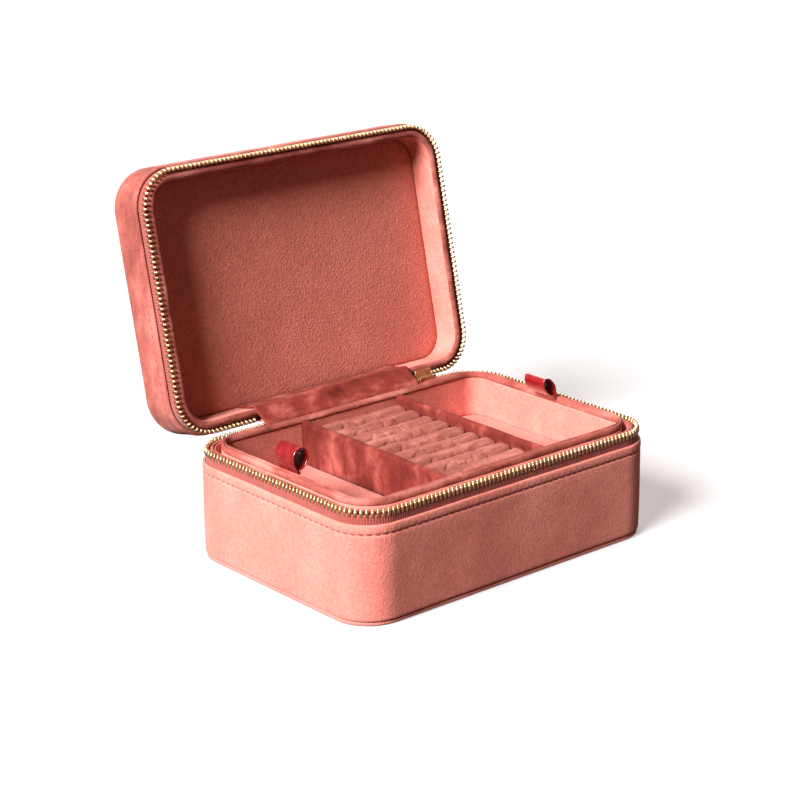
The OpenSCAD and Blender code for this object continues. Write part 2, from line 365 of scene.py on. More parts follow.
class Nodes:
    """A short way to write a node tree."""

    def __init__(self, name):
        self.material = bpy.data.materials.new(name)
        self.material.use_nodes = True
        self.tree = self.material.node_tree
        self.tree.nodes.clear()
        self.out = self.tree.nodes.new("ShaderNodeOutputMaterial")
        self.shader = self.tree.nodes.new("ShaderNodeBsdfPrincipled")
        self.tree.links.new(self.shader.outputs[0], self.out.inputs[0])

    def add(self, kind, inputs=None, **props):
        node = self.tree.nodes.new("ShaderNode" + kind)
        for k, v in props.items():
            setattr(node, k, v)
        for k, v in (inputs or {}).items():
            self.put(node.inputs[k], v)
        return node

    def put(self, socket, value):
        if hasattr(value, "is_output"):
            self.tree.links.new(value, socket)
        else:
            socket.default_value = value

    def set(self, **values):
        for k, v in values.items():
            self.put(self.shader.inputs[k.replace("_", " ")], v)

    def place(self, scale=(1, 1, 1), rotation=(0, 0, 0)):
        """Coordinates in metres of the piece, stretched."""
        coords = self.add("TexCoord").outputs["Object"]
        return self.add("Mapping", {"Vector": coords, "Scale": scale, "Rotation": rotation}).outputs[0]

    def noise(self, where, scale, detail=3, roughness=0.55, distortion=0.0):
        node = self.add(
            "TexNoise",
            {
                "Vector": where, "Scale": scale, "Detail": detail, "Roughness": roughness,
                "Distortion": distortion,
            },
        )
        return node.outputs[0]

    def maths(self, what, a, b=0.0):
        node = self.add("Math", operation=what)
        self.put(node.inputs[0], a)
        self.put(node.inputs[1], b)
        return node.outputs[0]

    def range(self, value, low, high, to_low=0.0, to_high=1.0):
        return self.add(
            "MapRange", {
                "Value": value, "From Min": low, "From Max": high, "To Min": to_low, "To Max": to_high,
            }
        ).outputs[0]

    def ramp(self, value, stops):
        node = self.add("ValToRGB", {"Fac": value})
        ramp = node.color_ramp
        while len(ramp.elements) < len(stops):
            ramp.elements.new(0.5)
        for e, (at, colour) in zip(ramp.elements, stops):
            e.position = at
            e.color = (*colour, 1)
        return node.outputs[0]

    def mix(self, factor, a, b, how="MIX"):
        """Two colours mixed. In a Mix node of colours they are inputs 6 and 7, and the result is output 2."""
        node = self.add("Mix", data_type="RGBA", blend_type=how)
        self.put(node.inputs[0], factor)
        for place, colour in ((6, a), (7, b)):
            self.put(node.inputs[place], colour if hasattr(colour, "is_output") else (*colour, 1))
        return node.outputs[2]

    def bands(self, where, scale, distortion=0.0, detail=2.0, direction="X"):
        inputs = {"Vector": where, "Scale": scale, "Distortion": distortion, "Detail": detail}
        return self.add("TexWave", inputs, wave_type="BANDS", bands_direction=direction).outputs[1]

    def cells(self, where, scale, feature="SMOOTH_F1", **inputs):
        inputs = {"Vector": where, "Scale": scale, **inputs}
        return self.add("TexVoronoi", inputs, feature=feature).outputs[0]

    def bump(self, height, strength, distance, normal=None):
        inputs = {"Height": height, "Strength": strength, "Distance": distance}
        if normal is not None:
            inputs["Normal"] = normal
        return self.add("Bump", inputs).outputs[0]


def velvet(
    name, deep, mid, light, patch=40, streak=(1, 1, 1), crush=0.0, grain=1300, grain_depth=0.0006, sheen=0.3,
    tint=(1, 0.62, 0.55), contrast=0.5,
):
    """Short-pile cloth: the nap lies in soft patches, crushed velvet in deeper ones, over a fine grain."""
    m = Nodes(name)
    where = m.place(streak)
    flat = m.place()
    big = m.noise(where, patch, 2, 0.5, 0.2)
    middle = m.noise(where, patch * 2.6, 3, 0.55, 0.35 * crush)
    fine = m.noise(flat, grain, 4, 0.72)
    speck = m.noise(flat, grain * 0.55, 1, 0.4)
    big_part = m.maths("MULTIPLY", big, 0.6 - 0.2 * crush)
    lay = m.maths("ADD", big_part, m.maths("MULTIPLY", middle, 0.4 + 0.2 * crush))
    spread = 0.30 * (1 - 0.55 * contrast)
    lay = m.range(lay, 0.5 - spread, 0.5 + spread)
    colour = m.ramp(lay, [(0.0, deep), (0.5, mid), (1.0, light)])
    grained = m.maths("ADD", m.maths("MULTIPLY", fine, 0.6), m.maths("MULTIPLY", speck, 0.4))
    grained = m.range(grained, 0.32, 0.68, 0.80, 1.20)
    shade = m.add("CombineColor", {"Red": grained, "Green": grained, "Blue": grained}).outputs[0]
    colour = m.mix(1.0, colour, shade, "MULTIPLY")
    normal = m.bump(m.cells(flat, grain * 1.15, Smoothness=0.7), 0.30, grain_depth * 0.8)
    normal = m.bump(fine, 0.55, grain_depth * 0.7, normal)
    if crush:
        normal = m.bump(m.noise(where, patch * 2.6, 3, 0.5, 0.35 * crush), 0.55 * crush, 0.0022, normal)
    m.set(
        Base_Color=colour,
        Roughness=m.range(middle, 0.3, 0.7, 0.78, 0.95),
        Specular_IOR_Level=0.2,
        Sheen_Weight=sheen,
        Sheen_Roughness=0.42,
        Sheen_Tint=(*tint, 1),
        Normal=normal,
    )
    return m.material


def tape_cloth(name, dark, light):
    """Woven zip tape with ribs across it. At scale 1 a band texture has about 3.2 bands a metre."""
    m = Nodes(name)
    uv = m.add("UVMap", uv_map="cloth").outputs[0]
    rib_pitch, row_pitch = 0.00116, 0.001
    ribs = m.bands(uv, 1 / (rib_pitch * 3.2), 0.4, 1)
    rows = m.bands(uv, 1 / (row_pitch * 3.2), 0.6, 1, "Y")
    weave = m.maths("MULTIPLY", ribs, m.range(rows, 0, 1, 0.55, 1.0))
    spots = m.noise(m.place(), 160, 3)
    share = m.maths("ADD", m.maths("MULTIPLY", weave, 0.7), m.maths("MULTIPLY", spots, 0.5))
    m.set(
        Base_Color=m.mix(m.range(share, 0.1, 1.0), dark, light),
        Roughness=0.8,
        Specular_IOR_Level=0.3,
        Sheen_Weight=0.25,
        Sheen_Roughness=0.5,
        Normal=m.bump(weave, 0.8, 0.00022),
    )
    return m.material


def thread_cloth(name, dark, light):
    """Twisted sewing thread."""
    m = Nodes(name)
    twist = m.bands(m.place((1, 1, 1), (0, 0.7, 0.7)), 900, 1.0)
    m.set(
        Base_Color=m.mix(twist, dark, light),
        Roughness=0.62,
        Specular_IOR_Level=0.35,
        Sheen_Weight=0.3,
        Sheen_Roughness=0.4,
        Normal=m.bump(twist, 0.6, 0.0001),
    )
    return m.material


def gold_metal(name):
    """Polished light gold with faint smears."""
    m = Nodes(name)
    spots = m.noise(m.place(), 420, 4, 0.6)
    scratch = m.noise(m.place((1, 1, 0.15)), 2600, 2, 0.5)
    colour = m.ramp(spots, [(0.25, (0.60, 0.36, 0.19)), (0.5, (0.77, 0.52, 0.30)), (0.8, (0.88, 0.68, 0.45))])
    m.set(
        Base_Color=colour, Metallic=1.0, Roughness=m.range(spots, 0.3, 0.7, 0.34, 0.46),
        Normal=m.bump(scratch, 0.12, 0.00005),
    )
    return m.material


def leather(name):
    """Glossy dark red leather with a fine pebble."""
    m = Nodes(name)
    cells = m.cells(m.place(), 1500)
    soft = m.noise(m.place(), 300, 3)
    colour = m.ramp(
        soft, [(0.25, (0.13, 0.004, 0.005)), (0.55, (0.22, 0.008, 0.010)), (0.85, (0.31, 0.020, 0.018))],
    )
    normal = m.bump(cells, 0.22, 0.00008, m.bump(soft, 0.3, 0.0003))
    m.set(
        Base_Color=colour, Roughness=m.range(soft, 0.3, 0.7, 0.20, 0.32), Specular_IOR_Level=0.7,
        Coat_Weight=0.9, Coat_Roughness=0.16, Normal=normal,
    )
    return m.material


def paper_board(name):
    """Grey-brown board with flecks and fibres."""
    m = Nodes(name)
    flecks = m.noise(m.place(), 900, 4, 0.7)
    fibres = m.noise(m.place((1, 0.12, 1)), 1400, 2)
    colour = m.ramp(
        flecks, [(0.3, (0.25, 0.19, 0.13)), (0.5, (0.36, 0.29, 0.21)), (0.75, (0.47, 0.40, 0.31))],
    )
    m.set(Base_Color=colour, Roughness=0.9, Specular_IOR_Level=0.2, Normal=m.bump(fibres, 0.4, 0.00012))
    return m.material


def open_foam(name):
    """Cream foam with open cells."""
    m = Nodes(name)
    cells = m.cells(m.place(), 1300, "F1")
    colour = m.mix(m.range(cells, 0.1, 0.7), (0.78, 0.70, 0.58), (0.55, 0.47, 0.36))
    m.set(Base_Color=colour, Roughness=0.95, Specular_IOR_Level=0.1, Normal=m.bump(cells, 0.8, 0.0003))
    return m.material


DEEP = (1, 0.42, 0.34)
FINE_NAP = {"grain_depth": 0.0003, "tint": DEEP}
OUTER = velvet(
    "outer_velvet", (0.50, 0.130, 0.098), (0.61, 0.176, 0.134), (0.70, 0.235, 0.185), patch=26,
    streak=(1, 1, 0.5), contrast=0.25,
)
LID_OUTER = velvet(
    "lid_velvet", (0.17, 0.030, 0.022), (0.33, 0.082, 0.062), (0.54, 0.185, 0.150), patch=52,
    streak=(1, 1, 0.55), crush=0.6, contrast=0.45, sheen=0.2,
)
LINING = velvet(
    "lining_velvet", (0.48, 0.125, 0.093), (0.59, 0.177, 0.136), (0.69, 0.245, 0.195), patch=45, contrast=0.3,
    grain_depth=0.0003,
)
RIM = velvet(
    "rim_velvet", (0.16, 0.024, 0.016), (0.29, 0.070, 0.052), (0.48, 0.165, 0.130), patch=60,
    streak=(0.7, 0.7, 1.4), crush=0.6, contrast=0.7, **FINE_NAP, sheen=0.12,
)
CRUSHED = velvet(
    "crushed_velvet", (0.075, 0.005, 0.003), (0.155, 0.019, 0.013), (0.34, 0.078, 0.058), patch=52,
    streak=(1.0, 1.0, 0.6), crush=0.8, contrast=0.75, **FINE_NAP, sheen=0.12,
)
HINGE_CLOTH = velvet(
    "hinge_velvet", (0.09, 0.007, 0.004), (0.19, 0.024, 0.016), (0.44, 0.115, 0.088), patch=52,
    streak=(0.75, 1, 1), crush=0.8, contrast=0.75, **FINE_NAP, sheen=0.1,
)
ROLLS = velvet(
    "roll_velvet", (0.15, 0.030, 0.021), (0.285, 0.082, 0.060), (0.46, 0.165, 0.130), patch=75,
    streak=(0.35, 1.3, 1.0), crush=0.7, contrast=0.6, **FINE_NAP, sheen=0.12,
)
SUEDE = velvet(
    "suede_lining", (0.45, 0.118, 0.086), (0.50, 0.140, 0.103), (0.56, 0.168, 0.126), patch=30, grain=1100,
    grain_depth=0.0009, contrast=0.2, sheen=0.15, tint=DEEP,
)
TAPE = tape_cloth("zip_tape", (0.22, 0.032, 0.021), (0.36, 0.078, 0.056))
# the thread's colours are partly its own dark rose and partly painted shade: they are darkened well below the
# velvet so that the stitch line reads as the shade in its groove and needle holes
THREAD_WITH_PAINTED_SHADE = thread_cloth("sewing_thread_painted_shade", (0.13, 0.022, 0.016), (0.27, 0.060, 0.045))
GOLD = gold_metal("zip_gold")
LEATHER = leather("tab_leather")
BOARD = paper_board("board")
FOAM = open_foam("foam")


# ---------------------------------------------------------------- velvet covers with their stitching

STITCH_Z = COVER_TOP - 3.7
STITCH_COUNT = int(round(CASE_LENGTH / STITCH_PITCH))
COVER_EDGE = [
    (0, 34.0), (0.03, 34.35), (0.06, 34.62), (0.15, 34.85), (0.22, STITCH_Z), (0.15, 35.35), (0.05, 35.6),
    (0.01, 35.85), (-0.04, 36.3), (-0.06, 36.9), (-0.04, 37.5), (0.0, 38.0), (0.09, 38.35), (0.25, 38.62),
    (0.47, 38.77), (0.7, 38.8), (0.93, 38.7), (1.12, 38.45), (1.22, 38.1), (1.24, 37.5), (1.24, 35.5),
    (1.24, 30),
]


def hump(x, middle, width):
    return np.exp(-(((x - middle) / width) ** 2))


def sewn(seed):
    """Moves a cover's points: the groove is deeper between the needle holes, the edge ripples a little, and
    the cloth is not quite flat. Points on the inside of the cover stay."""

    def shape(p, s, normal):
        phase = s / CASE_LENGTH * STITCH_COUNT
        hole = hump((phase + 0.5) % 1, 0.5, 0.16)
        z = p[..., 2]
        groove = hump(z, STITCH_Z, 0.45)
        above = hump(z, STITCH_Z + 1.3, 0.9)
        below = hump(z, STITCH_Z - 1.1, 0.9)
        outer = (np.abs(p[..., 0] - p[-1, :, 0]) + np.abs(p[..., 1] - p[-1, :, 1])) > 0.6
        move = (0.07 * above - 0.34 * groove) * (1 - hole)
        move -= (0.06 * groove + 0.10 * above + 0.06 * below) * hole
        sag = np.where(z < STITCH_Z + 1, 0.16, 0.07) * wave_noise(p, 17, seed)
        sag += 0.05 * wave_noise(p, 6, seed + 5)
        move += (1 - hump(z, STITCH_Z, 3.2)) * sag
        p = pushed(p, normal, move * outer)
        edge = np.clip((z - COVER_TOP + 2) / 2, 0, 1)
        p[..., 2] += edge * 0.10 * wave_noise(p, 9, seed + 9)
        return p

    return shape


def build_stitches(name, body, lid):
    """One thread piece for each stitch, bowed along the groove between two needle holes."""
    rings, around = 7, 8
    gap = 0.07
    f = np.linspace(gap, 1 - gap, rings)
    rise = np.sin(np.pi * (f - gap) / (1 - 2 * gap))
    radius = 0.17 + 0.10 * rise
    turn = np.array(angles(around))
    verts, faces = [], []
    for k in range(STITCH_COUNT):
        c, normal = outline_frame((k + f) / STITCH_COUNT * CASE_LENGTH, HALF_X, HALF_Y, CORNER_R)
        at = c * [HALF_X - CORNER_R, HALF_Y - CORNER_R] + (CORNER_R - 0.66 + 0.26 * rise)[:, None] * normal
        out = radius[:, None] * np.cos(turn)
        flat = at[:, None] + out[..., None] * normal[:, None]
        height = STITCH_Z + 0.37 * (0.5 - f)[:, None] + radius[:, None] * np.sin(turn)
        verts.append(np.concatenate([flat, height[..., None]], 2).reshape(-1, 3))
        faces += shifted(tube_faces(rings, around), k * rings * around)
    return make(name, np.concatenate(verts), faces, THREAD_WITH_PAINTED_SHADE, body, (), lid)


def build_base_cover():
    bottom = [(1.24, 3.2), (1.2, 2.3), (0.95, 1.95), (0.6, 1.9), (0.3, 2.05), (0.1, 2.4), (0.02, 2.9)]
    wall = [(0, 3.4 + 1.7 * k) for k in range(18)]
    loft(
        "base_cover_velvet", sections_of(bottom + wall + COVER_EDGE), OUTER, "base",
        ["base_cover"], shape=sewn(3),
    )
    build_stitches("base_cover_stitches", "base", False)


def build_lid_cover():
    """Wall and top of the lid in one velvet skin with a soft rounded edge. In the mirrored lid its top is the
    lowest."""
    rounding = arc_points(5.6, LID_TOP + 5.6, 5.6, -90, 0, 12)
    inner_top = [
        (i, LID_TOP + 1.3) for i in (51.5, 44, 34, 24, 15, 9, 5)
    ] + [(2.6, LID_TOP + 1.9), (1.5, LID_TOP + 3.4)]
    crown = [51.5, 48, 44, 40, 36, 32, 28, 24, 20, 16, 13, 10.5, 8.5, 7]
    outer_top = [(i, LID_TOP + 0.04 + 0.35 * hump(i, 5, 5.5)) for i in crown]
    rounding = [(i, z + 0.36 * max(0.0, (i - 1.5) / 4.1) ** 2) for i, z in rounding]
    wall = [(0, z) for z in np.linspace(LID_TOP + 6.6, 33.2, 6)]
    profile = outer_top + rounding + wall + COVER_EDGE + [(1.24, LID_TOP + 6)] + inner_top[::-1]
    shape = sewn(11)

    def lid_shape(p, s, normal):
        flat = p[..., 2] < LID_TOP + 1
        out = shape(p, s, normal)
        out[..., :2] = np.where(flat[..., None], p[..., :2], out[..., :2])
        out[..., 2] += np.where(flat, 0.06 * wave_noise(p, 26, 4) + 0.06, 0)
        return out

    loft(
        "lid_cover_velvet", sections_of(profile), LID_OUTER, "lid",
        ["lid_cover", "lid_top_panel"], lid=True, closed=False, caps=True, shape=lid_shape,
    )
    build_stitches("lid_cover_stitches", "lid", True)


# ---------------------------------------------------------------- base bottom and bead


def build_bottom():
    bead = arc_points(1.3, 0.83, 0.8, -180, 157.5, 15)
    shape = rippled(0.05, 4, 21)
    loft("base_bead", sections_of(bead), OUTER, "base", ["base_piping"], shape=shape)
    floor = [(i, 0.0) for i in (51, 44, 36, 28, 20, 13, 8, 5)]
    edge = [(3.4, 0.0), (2.8, 0.08), (2.5, 0.3), (2.4, 0.7), (2.45, 1.4), (2.7, 1.55)]
    inside = [(i, 1.55) for i in (20, 40, 51)]
    loft(
        "base_underside", sections_of(floor + edge + inside), SUEDE, "base",
        ["base_bottom_panel"], closed=False, caps=True, step=1.6,
    )


# ---------------------------------------------------------------- zip

CHAIN_INSET = 1.62
CHAIN_OUTLINE = (HALF_X - CHAIN_INSET, HALF_Y - CHAIN_INSET, CORNER_R - CHAIN_INSET)
TOOTH_FOOT = PARTING - 3.25


def clamp_shape(levels, power, around):
    """A closed stack of rounded rectangles, each (height, half along, half out). A lower power is squarer."""
    verts = []
    for z, a, b in levels:
        for t in angles(around, 0.5):
            x = a * math.copysign(abs(math.cos(t)) ** power, math.cos(t))
            y = b * math.copysign(abs(math.sin(t)) ** power, math.sin(t))
            verts.append((x, y, z))
    # the template's axes (along, out, up) are left-handed in the case, so the faces are turned round
    return verts, flipped(tube_faces(len(levels), around))


def tooth_shape():
    """One tooth: two legs that clamp the tape's cord and a narrower head."""
    levels = [
        (-0.35, 0.34, 0.70), (-0.22, 0.46, 0.86), (0.1, 0.55, 0.96), (1.0, 0.57, 0.98), (1.55, 0.56, 0.96),
        (1.80, 0.52, 0.86), (1.92, 0.46, 0.74), (2.10, 0.46, 0.72), (2.35, 0.48, 0.70), (2.52, 0.42, 0.58),
        (2.62, 0.28, 0.38),
    ]
    return clamp_shape(levels, 0.55, 12)


def build_teeth(name, body, lid, start, end, node):
    template, faces = tooth_shape()
    s = np.arange(start, end, TOOTH_PITCH)
    at, normal = outline_points(s, *CHAIN_OUTLINE, TOOTH_FOOT)
    out = np.column_stack([normal, np.zeros(len(s))])
    up = np.tile([0, 0, 1.0], (len(s), 1))
    along = np.column_stack([-normal[:, 1], normal[:, 0], np.zeros(len(s))])
    tilt = wave_noise(np.column_stack([s, 0 * s, 0 * s]), 1.7, 31)
    along += 0.05 * tilt[:, None] * up
    verts, made = copies(template, faces, at, along, out, up)
    return make(name, verts, made, GOLD, body, [node], lid)


def build_tape(name, body, lid, node):
    """Tape with a cord along its top edge, where the teeth hold it."""
    profile = [
        (1.36, 31.2), (1.36, 36), (1.34, 38.2), (1.26, 39.6), (1.16, 40.9), (1.1, 41.4), (1.12, 41.9),
        (1.3, 42.2), (1.62, 42.3), (1.94, 42.2), (2.1, 41.9), (2.1, 41.3), (1.95, 40.7), (1.9, 36),
        (1.9, 31.2),
    ]

    def ribbed(p, s, normal):
        """Ribs half a tooth pitch apart that stand out of both sides."""
        share = np.clip((p[..., 2] - 38) / 2.5, 0, 1)
        rib = np.cos(2 * math.pi * s / (TOOTH_PITCH / 2))[None]
        reach = (p[..., :2] * normal[None]).sum(-1)
        side = np.sign(reach - reach[4:5] + 0.35)
        return pushed(p, normal, share * (0.05 * rib * side + 0.03 * wave_noise(p, 5, 41)))

    span = (CHAIN_END, CASE_LENGTH - CHAIN_END)
    return loft(
        name, sections_of(profile), TAPE, body, [node], lid=lid, span=span, step=0.29,
        shape=ribbed,
    )


def build_stops():
    """A crimped metal stop at each end of the base's chain."""
    levels = [
        (0, 0.5, 0.78), (0.15, 0.68, 0.95), (0.6, 0.72, 0.98), (1.3, 0.66, 0.9), (1.45, 0.66, 0.9),
        (2.1, 0.72, 0.98), (2.5, 0.66, 0.9), (2.65, 0.5, 0.7),
    ]
    template, faces = clamp_shape(levels, 0.4, 14)
    places = np.array([[side * (CHAIN_END - 0.8), HALF_Y - CHAIN_INSET, TOOTH_FOOT] for side in (-1, 1)])
    along, out, up = (np.tile(v, (2, 1)).astype(float) for v in ([-1, 0, 0], [0, 1, 0], [0, 0, 1]))
    points, made = copies(template, faces, places, along, out, up)
    make("zip_stops_metal", points, made, GOLD, "base", ["zip_end_stops"])


def build_zip():
    """The lid's teeth stand half a pitch on, so that they fall between the base's when the lid is shut."""
    chain_length = outline_length(*CHAIN_OUTLINE)
    start, end = CHAIN_END + 0.75, chain_length - 0.4
    build_teeth("base_teeth", "base", False, start, end - CHAIN_END, "base_zip_chain")
    build_teeth("lid_teeth", "lid", True, start + TOOTH_PITCH / 2, end - LID_CHAIN_RIGHT, "lid_zip_chain")
    build_tape("base_tape_cloth", "base", False, "base_zip_tape")
    build_tape("lid_tape_cloth", "lid", True, "lid_zip_tape")
    build_stops()


def rounded_block(bm, lo, hi, bevel):
    """Adds a block with rounded edges to bm, in mm."""
    made = bmesh.ops.create_cube(bm, size=1)["verts"]
    for v in made:
        v.co = Vector([low + (c + 0.5) * (high - low) for c, low, high in zip(v.co, lo, hi)])
    edges = list({e for v in made for e in v.link_edges})
    bmesh.ops.bevel(bm, geom=edges, offset=bevel, segments=3, profile=0.6, affect="EDGES")


def from_bmesh(bm, name, material, body, replaces):
    bmesh.ops.recalc_face_normals(bm, faces=bm.faces)
    verts = [tuple(v.co) for v in bm.verts]
    bm.verts.index_update()
    faces = [tuple(v.index for v in f.verts) for f in bm.faces]
    bm.free()
    return make(name, verts, faces, material, body, replaces)


def build_slider():
    """A plate each side of the chains, a raised field on the outer one, the post between the rows, and two
    lugs with the pull's pin."""
    lo, hi = (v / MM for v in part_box("zip_slider"))
    x = (lo.x + hi.x) / 2
    outer_y, inner_y, foot, lug_x = 52.15, 49.0, 41.6, 3.0
    bm = bmesh.new()
    rounded_block(bm, (lo.x, outer_y, foot), (hi.x, outer_y + 0.9, 48.1), 0.38)
    rounded_block(bm, (lo.x + 0.9, outer_y + 0.55, 42.4), (hi.x - 0.9, outer_y + 1.12, 47.3), 0.24)
    rounded_block(bm, (lo.x, inner_y, foot), (hi.x, inner_y + 0.6, 46.1), 0.25)
    rounded_block(
        bm, (hi.x - 3, inner_y + 0.2, PARTING - 0.28), (hi.x - 0.1, outer_y + 0.6, PARTING + 0.28), 0.15,
    )
    for lug in (x - lug_x, x + lug_x):
        rounded_block(
            bm, (lug - 0.4, outer_y + 0.5, PIN_Z - 0.6), (lug + 0.4, PIN_Y + 0.6, PIN_Z + 0.6), 0.22,
        )
    from_bmesh(bm, "slider_metal", GOLD, "zip_slider", ["zip_slider"])
    around, pin_r = 20, 0.44
    ring = [(PIN_Y + pin_r * math.cos(a), PIN_Z + pin_r * math.sin(a)) for a in angles(around)]
    pin = [(end, y, z) for end in (x - lug_x, x + lug_x) for y, z in ring]
    make("slider_pin", pin, tube_faces(2, around), GOLD, "zip_slider")


def build_pull():
    """A tongue with a waist, a raised border and an eye that turns on the slider's pin."""
    tip_r, middle_z = 2.3, -9.5
    turns = [math.pi * (1 + k / 12) for k in range(13)]
    tip = [(tip_r * math.cos(a), -17.7 + tip_r * math.sin(a)) for a in turns]
    right = [(tip_r, -14.0), (2.15, -10), (1.8, -6), (1.7, -3.4), (1.95, -1.6), (2.2, -0.9), (2.2, -0.3)]
    outline = tip + right + [(-px, pz) for px, pz in reversed(right)]
    # half thickness, and how far the outline has drawn in there
    border = [(0.30, 0.0), (0.45, -0.18), (0.45, -0.62), (0.26, -0.82)]

    def ring(y, draw):
        points = []
        for px, pz in outline:
            dz = pz - middle_z
            reach = max(abs(px), 0.8) if abs(dz) < 7.9 else math.hypot(px, dz)
            points.append((px * max(0.0, 1 + draw / reach), y, middle_z + dz * (1 + draw / 10)))
        return points

    def closing(y):
        """A ring with no width, which closes the face along its middle."""
        return [(0.0, y, middle_z + (pz - middle_z) * 0.02) for _, pz in outline]

    # front border to front middle, then back middle to back border
    rows = [ring(y, draw) for y, draw in border] + [closing(0.26)]
    rows += [closing(-0.26)] + [ring(-y, draw) for y, draw in reversed(border)]
    verts = [point for row in rows for point in row]
    faces = tube_faces(len(rows), len(outline), closed=True)
    eye = [(-2.25, 0.52), (-2.3, 0.72), (-2.15, 0.93), (2.15, 0.93), (2.3, 0.72), (2.25, 0.52)]
    around = 24
    faces += shifted(tube_faces(len(eye), around, closed=True), len(verts))
    verts += [(px, r * math.cos(a), r * math.sin(a)) for px, r in eye for a in angles(around)]
    bm = bmesh.new()
    made = [bm.verts.new((PIN_X + px, PIN_Y + py, PIN_Z + pz)) for px, py, pz in verts]
    for f in faces:
        bm.faces.new([made[i] for i in f])
    bmesh.ops.remove_doubles(bm, verts=bm.verts, dist=0.003)
    from_bmesh(bm, "pull_metal", GOLD, "zip_pull", ["zip_pull"])


# ---------------------------------------------------------------- edges inside the zip


def build_edges():
    def soft(seed, amount):
        def shape(p, s, normal):
            p = pushed(p, normal, amount * wave_noise(p, 5, seed))
            p[..., 2] += np.where(p[..., 2] > 41, amount * wave_noise(p, 7, seed + 3), 0)
            return p

        return shape

    lip = [
        (3.76, 36), (3.76, 40.58), (2.85, 40.62), (2.76, 41.3), (2.84, 42.2), (3.08, 42.95), (3.45, 43.42),
        (3.9, 43.58), (4.3, 43.42), (4.53, 42.9), (4.6, 42.2), (4.6, 36),
    ]
    loft(
        "base_edge_velvet", sections_of(lip), RIM, "base", ["base_edge_binding"],
        shape=soft(51, 0.06),
    )
    inner = [
        (4.67, 24.6), (4.67, 42.4), (4.74, 42.85), (4.9, 43.1), (5.08, 43.05), (5.19, 42.7), (5.2, 42.2),
        (5.2, 24.6),
    ]
    loft(
        "base_inner_lining", sections_of(inner), LINING, "base", ["base_wall_lining"],
        span=(STRIP_HALF + 0.3, CASE_LENGTH - STRIP_HALF - 0.3), shape=soft(57, 0.03),
    )
    recess = [
        (3.76, 33), (3.76, 40.58), (2.85, 40.62), (2.76, 41.3), (2.86, 42.2), (3.15, 42.95), (3.6, 43.4),
        (4.2, 43.58), (4.9, 43.5), (5.45, 43.2), (5.82, 42.6), (5.95, 41.8), (5.98, 40), (5.98, 37),
        (6.0, 34), (6.0, 31.6), (6.0, 30.0), (4.7, 30.0), (4.7, 33),
    ]
    loft(
        "lid_edge_velvet", sections_of(recess), RIM, "lid",
        ["lid_edge_binding", "lid_wall_lining"], lid=True, shape=soft(61, 0.07), second=(LINING, 10, 16),
    )


def build_lid_panel():
    """Suede over thin foam: it swells from its glued border."""
    face_height = 58.5
    z = 2 * PARTING - face_height
    border = [
        (6.08, z - 1.6), (6.08, z - 0.75), (6.2, z - 0.5), (6.6, z - 0.28), (7.4, z - 0.12), (8.8, z - 0.03),
    ]
    flat = [(i, z) for i in (11, 14, 18, 22, 26, 30, 34, 38, 42, 46, 49, 51.3)]
    under = [(i, z - 1.65) for i in (51.3, 30, 6.1)]

    def swollen(p, s, normal):
        p = p.copy()
        top = p[..., 2] > z - 1
        p[..., 2] += np.where(top, 0.10 * wave_noise(p, 21, 71), 0)
        return p

    loft(
        "lid_panel_suede", sections_of(under + border + flat), SUEDE, "lid", ["lid_panel"],
        lid=True, closed=False, caps=True, shape=swollen,
    )


# ---------------------------------------------------------------- fabric hinge


def smooth_path(points, step):
    """Even points on a smooth line through the given ones."""
    p = np.asarray(points, float)
    ext = np.vstack([2 * p[0] - p[1], p, 2 * p[-1] - p[-2]])
    out = []
    for i in range(1, len(ext) - 2):
        a, b, c, d = ext[i - 1 : i + 3]
        for t in np.linspace(0, 1, 24, endpoint=False):
            bend = (2 * a - 5 * b + 4 * c - d) * t**2 + (3 * b - a - 3 * c + d) * t**3
            out.append(0.5 * (2 * b + (c - a) * t + bend))
    out = np.array(out + [p[-1]])
    run = np.concatenate([[0], np.cumsum(np.linalg.norm(np.diff(out, axis=0), axis=1))])
    n = max(4, int(round(run[-1] / step)))
    at = np.linspace(0, run[-1], n + 1)
    return np.stack([np.interp(at, run, out[:, 0]), np.interp(at, run, out[:, 1])], 1), run[-1]


def build_strip(name, path, half, thick, material, replaces, seed, rough, hem=0.0):
    """A band of fabric across the hinge that follows a path of (y, z), as wide as 2 half along X. It is
    thinner at its edges, rough makes it uneven, and hem raises it beside its edges."""
    line, length = smooth_path(path, 0.6)
    tangent = np.gradient(line, axis=0)
    tangent /= np.linalg.norm(tangent, axis=1)[:, None]
    normal = np.stack([-tangent[:, 1], tangent[:, 0]], 1)
    xs = np.linspace(-half, half, int(round(2 * half / 0.8)) + 1)
    m, n = len(line), len(xs)
    grid = np.zeros((m, n, 3))
    grid[..., 0] = xs[None]
    grid[..., 1:] = line[:, None]
    lift = rough * rough_noise(grid * [0.35, 1, 1], 6, seed)
    lift += hem * hump(np.abs(grid[..., 0]), half - 1.2, 1.0)
    edge = np.clip((half - np.abs(xs)) / 0.5, 0.25, 1)[None] * thick / 2
    top, low = grid.copy(), grid.copy()
    top[..., 1:] += (edge + np.maximum(lift, 0))[..., None] * normal[:, None]
    low[..., 1:] -= edge[..., None] * normal[:, None]
    verts = np.concatenate([top.reshape(-1, 3), low.reshape(-1, 3)])
    run = np.linspace(0, length, m)
    uv = np.stack(np.broadcast_arrays(xs[None], run[:, None]), 2).reshape(-1, 2) * MM
    uv = np.concatenate([uv, uv])
    obj = make(name, verts, slab_faces(m, n), material, None, replaces, uv=uv)
    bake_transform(obj)
    return obj, length


